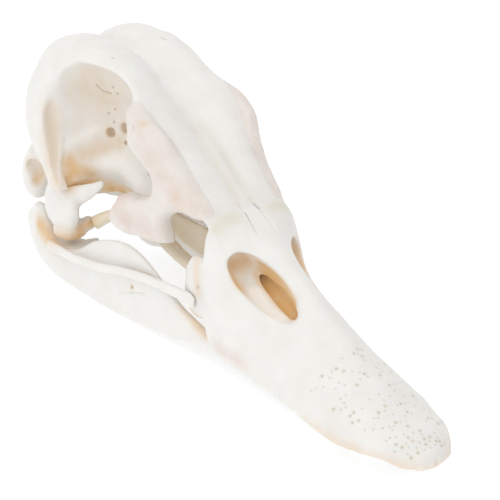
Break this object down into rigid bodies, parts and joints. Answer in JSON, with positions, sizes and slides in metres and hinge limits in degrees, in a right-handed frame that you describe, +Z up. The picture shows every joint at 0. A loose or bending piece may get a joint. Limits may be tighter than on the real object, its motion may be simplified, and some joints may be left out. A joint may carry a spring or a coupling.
{
  "type": "duck skull",
  "caption": "Dry duck skull with its lower jaw: broad flat bill, long nostrils, wide open eye sockets and a round braincase, lying on the lower jaw.",
  "frame": {"origin": "on the table, under the middle of the skull's box", "axes": "+Z up, -Y toward the tip of the bill, +X toward the bird's left side"},
  "size_m": [0.0342, 0.1246, 0.0529],
  "materials": {
    "bone": "dry, cleaned bone, faintly satin",
    "porous_bone": "porous bone with a pink tint",
    "stained_bone": "thin bone, stained ochre"
  },
  "bodies": {
    "root": {"cranium": "bone", "upper_bill": "bone", "mandible": "bone", "lacrimal_left": "porous_bone", "lacrimal_right": "porous_bone", "quadrate_left": "bone", "quadrate_right": "bone", "jugal_bar_left": "bone", "jugal_bar_right": "bone", "pterygoid_left": "stained_bone", "pterygoid_right": "stained_bone", "palate": "stained_bone"}
  },
  "joints": []
}
